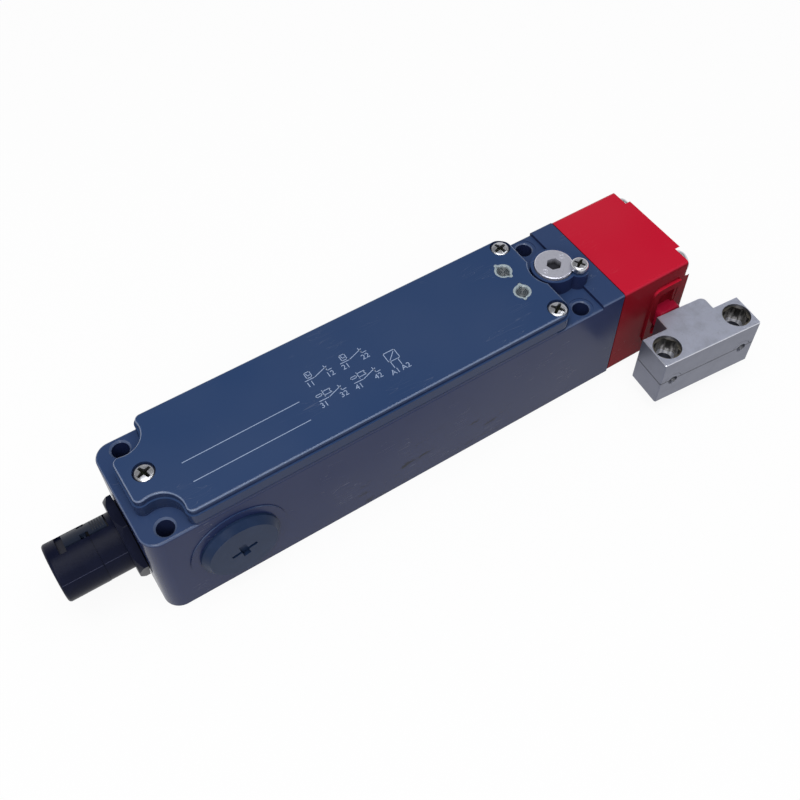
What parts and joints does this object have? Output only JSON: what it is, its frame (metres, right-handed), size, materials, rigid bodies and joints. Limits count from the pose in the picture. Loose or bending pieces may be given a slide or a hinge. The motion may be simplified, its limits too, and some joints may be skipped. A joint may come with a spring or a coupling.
{
  "type": "tongue interlock switch",
  "caption": "Slim cast tongue interlock switch with guard locking, red head, jointed actuator, side blanking plugs and a round plug-in connector",
  "frame": {"origin": "centre of the four fixing holes, on the flat back face of the casing", "axes": "+X along the body to the head, +Z out of the back face towards the cover, +Y to the side away from the actuator"},
  "size_m": [0.2377, 0.0687, 0.0494],
  "materials": {
    "casing_paint": "glossy dark blue paint on a zinc casting, scuffed along the sides",
    "cover_paint": "glossy dark blue paint",
    "head_paint": "glossy red paint",
    "actuator_cast": "fine satin grey die casting",
    "key_steel": "bright stainless steel blade",
    "zinc_steel": "zinc plated screws with a cross recess",
    "satin_zinc": "satin metal, fine turning marks",
    "inner_steel": "plain turned steel",
    "yoke_steel": "zinc passivated iron",
    "contact_brass": "brass contact parts",
    "coil_wire": "enamelled copper winding under clear tape",
    "plug_plastic": "moulded blue-grey plastic",
    "connector_plastic": "moulded navy black plastic",
    "insert_plastic": "black moulded plastic",
    "inner_plastic": "natural moulded plastic",
    "guide_plastic": "red moulded plastic",
    "lens_plastic": "clear grey moulded lens",
    "led_plastic": "clear lamp body",
    "board_plastic": "green circuit board",
    "lead_plastic": "black wire insulation",
    "gasket_rubber": "black seal rubber"
  },
  "bodies": {
    "switch": {"casing": "casing_paint", "cover": "cover_paint", "cover_gasket": "gasket_rubber", "cover_screws": "zinc_steel", "indicator_lens_1": "lens_plastic", "indicator_lens_2": "lens_plastic", "indicator_leds": "led_plastic", "indicator_board": "board_plastic", "release_retaining_screw": "zinc_steel", "release_retaining_washer": "zinc_steel", "conduit_plug_front": "plug_plastic", "conduit_plug_rear": "plug_plastic", "plug_seal_front": "gasket_rubber", "plug_seal_rear": "gasket_rubber", "connector_nut": "connector_plastic", "connector_shell": "connector_plastic", "connector_sleeve": "connector_plastic", "connector_insert": "insert_plastic", "connector_pins": "contact_brass", "connector_seal": "gasket_rubber", "connector_leads": "lead_plastic", "head_housing": "head_paint", "slot_guide": "guide_plastic", "end_slot_plug": "guide_plastic", "head_gasket": "gasket_rubber", "head_screws": "zinc_steel", "cam_axle": "inner_steel", "rod_guide": "inner_plastic", "push_rod_spring": "inner_steel", "lock_spring": "inner_steel", "solenoid_yoke": "yoke_steel", "solenoid_bobbin": "inner_plastic", "solenoid_coil": "coil_wire", "solenoid_core": "yoke_steel", "solenoid_screws": "zinc_steel", "contact_housing": "insert_plastic", "fixed_contacts": "contact_brass", "coil_terminals": "contact_brass", "terminal_screws": "zinc_steel", "contact_housing_screws": "zinc_steel", "earth_screw": "zinc_steel"},
    "key": {"actuator_key": "key_steel"},
    "actuator_block": {"actuator_upper_half": "actuator_cast", "actuator_lower_half": "actuator_cast", "actuator_pivot_pin": "inner_steel", "actuator_sleeves": "actuator_cast", "actuator_set_screws": "zinc_steel"},
    "cam": {"head_cam": "inner_plastic"},
    "key_contact_rod": {"push_rod": "inner_steel", "key_contact_bridges": "contact_brass"},
    "release": {"release_disc": "satin_zinc", "release_shaft": "inner_steel", "release_seal": "gasket_rubber"},
    "lock": {"lock_rod": "inner_steel", "solenoid_armature": "yoke_steel", "lock_contact_bridges": "contact_brass"},
    "latch": {"connector_latch": "connector_plastic"}
  },
  "joints": [
    {"name": "actuator_withdraw", "type": "slide", "parent": "switch", "child": "key", "axis": [0, -1, 0], "range_m": [0, 0.034]},
    {"name": "actuator_tilt", "type": "hinge", "parent": "key", "child": "actuator_block", "pos_m": [0.1109, -0.0373, 0.0161], "axis": [0, 0, 1], "range_deg": [-1.5, 10.3]},
    {"name": "cam_turn", "type": "hinge", "parent": "switch", "child": "cam", "pos_m": [0.101, 0, 0.0211], "axis": [0, 0, 1], "range_deg": [-80.1, 0]},
    {"name": "push_rod_slide", "type": "slide", "parent": "switch", "child": "key_contact_rod", "axis": [-1, 0, 0], "range_m": [0, 0.00401], "deforming": ["push_rod_spring"]},
    {"name": "release_turn", "type": "hinge", "parent": "switch", "child": "release", "pos_m": [0.074, 0, 0.044], "axis": [0, 0, 1], "range_deg": [-180.2, 0]},
    {"name": "lock_rod_slide", "type": "slide", "parent": "switch", "child": "lock", "axis": [1, 0, 0], "range_m": [0, 0.004], "deforming": ["lock_spring"]},
    {"name": "connector_latch_rock", "type": "hinge", "parent": "switch", "child": "latch", "pos_m": [-0.0942, 0.00371, 0.02698], "axis": [0, -0.8829, 0.4695], "range_deg": [0, 2.5], "stiffness_Nm_per_rad": 0.02}
  ],
  "couplings": [
    {"joint": "cam_turn", "follows": "actuator_withdraw", "rad_per_m": -41.067},
    {"joint": "push_rod_slide", "follows": "actuator_withdraw", "ratio": 0.11765},
    {"joint": "release_turn", "follows": "lock_rod_slide", "rad_per_m": -785.4}
  ]
}
